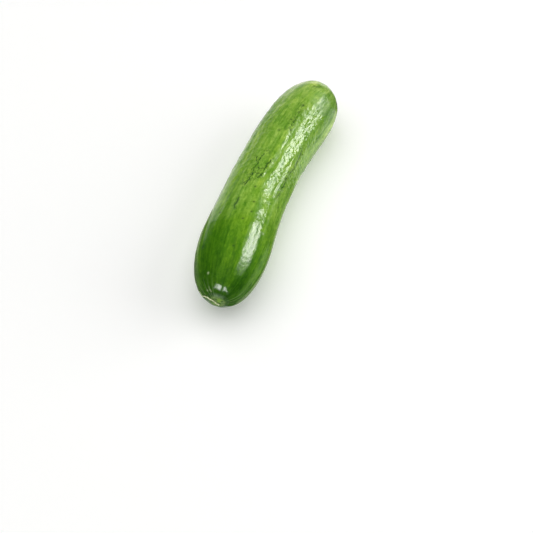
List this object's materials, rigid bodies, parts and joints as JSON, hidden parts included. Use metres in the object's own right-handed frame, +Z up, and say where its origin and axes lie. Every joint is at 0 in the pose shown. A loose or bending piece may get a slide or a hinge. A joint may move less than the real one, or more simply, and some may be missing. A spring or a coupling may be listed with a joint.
{
  "type": "persian cucumber",
  "caption": "Whole persian cucumber lying on its side: a gently bent, tapering green fruit with a corky blossom scar and a dry thread of its flower.",
  "frame": {"origin": "on the surface that the fruit lies on, under the middle of its box", "axes": "+X from the blossom end to the stem end, +Y to the outside of the bend, +Z up"},
  "size_m": [0.1416, 0.0364, 0.0334],
  "materials": {
    "skin": "waxy, half gloss",
    "dry_thread": "dry and dull"
  },
  "bodies": {
    "root": {"fruit": "skin", "blossom_thread": "dry_thread"}
  },
  "joints": []
}
